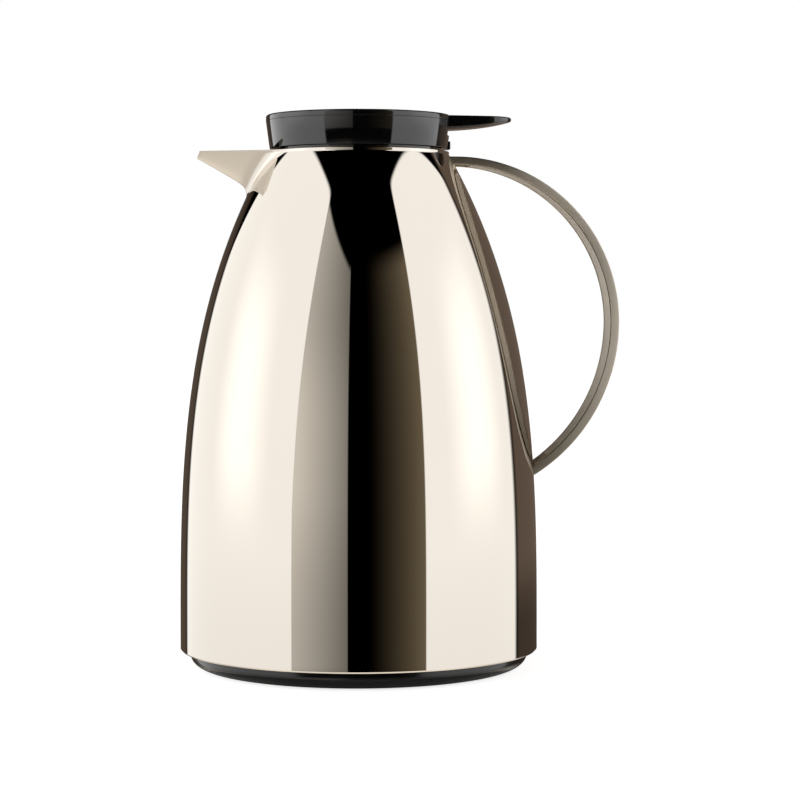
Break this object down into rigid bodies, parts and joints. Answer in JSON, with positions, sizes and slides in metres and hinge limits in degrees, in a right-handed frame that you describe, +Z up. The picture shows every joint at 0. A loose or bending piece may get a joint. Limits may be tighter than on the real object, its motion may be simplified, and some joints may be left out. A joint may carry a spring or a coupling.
{
  "type": "thermal pot",
  "caption": "Table-top vacuum jug with a tapered mirror shell, open V beak, loop strap handle and a screw-in black stopper whose thumb lever lifts a pour valve.",
  "frame": {"origin": "middle of the foot ring, on the surface that the pot stands on", "axes": "+Z up along the pot's axis, +X towards the handle, -X towards the beak"},
  "size_m": [0.1794, 0.146, 0.225],
  "materials": {
    "shell_chrome": "champagne mirror, metallised",
    "black_plastic": "gloss black moulded",
    "handle_pewter": "satin pewter champagne",
    "inner_plastic": "moulded, matt",
    "silvered_glass": "silvered glass",
    "seal_rubber": "soft moulded rubber",
    "steel": "bright drawn steel"
  },
  "bodies": {
    "jug": {"outer_shell": "shell_chrome", "base_cap": "black_plastic", "handle_frame": "handle_pewter", "handle_inlay": "handle_pewter", "handle_lock_pegs": "steel", "neck_collar": "inner_plastic", "liner_outer_flask": "silvered_glass", "liner_inner_flask": "silvered_glass", "liner_spacers": "seal_rubber", "liner_gasket": "seal_rubber", "liner_cushion": "seal_rubber"},
    "stopper_seal": {"stopper_gasket": "seal_rubber"},
    "stopper": {"stopper_body": "inner_plastic", "lid_drum": "black_plastic", "lid_cap": "black_plastic", "lever_pin": "steel", "stopper_screws": "steel", "valve_spring": "steel"},
    "lever": {"thumb_lever": "black_plastic"},
    "valve": {"valve_stem": "inner_plastic", "valve_seal": "seal_rubber", "stem_clip": "steel"}
  },
  "joints": [
    {"name": "stopper_lift", "type": "slide", "parent": "jug", "child": "stopper_seal", "axis": [0, 0, 1], "range_m": [0, 0.009]},
    {"name": "stopper_turn", "type": "hinge", "parent": "stopper_seal", "child": "stopper", "pos_m": [0, 0, 0.19], "axis": [0, 0, 1], "range_deg": [0, 216]},
    {"name": "lever_press", "type": "hinge", "parent": "stopper", "child": "lever", "pos_m": [0.027, 0, 0.2155], "axis": [0, 1, 0], "range_deg": [0, 11], "stiffness_Nm_per_rad": 0.08, "springref_deg": -11.46},
    {"name": "valve_lift", "type": "slide", "parent": "stopper", "child": "valve", "axis": [0, 0, 1], "range_m": [0, 0.00518], "deforming": ["valve_spring"]}
  ],
  "couplings": [
    {"joint": "stopper_lift", "follows": "stopper_turn", "m_per_rad": 0.0023873},
    {"joint": "lever_press", "follows": "valve_lift", "rad_per_m": 37.037}
  ]
}
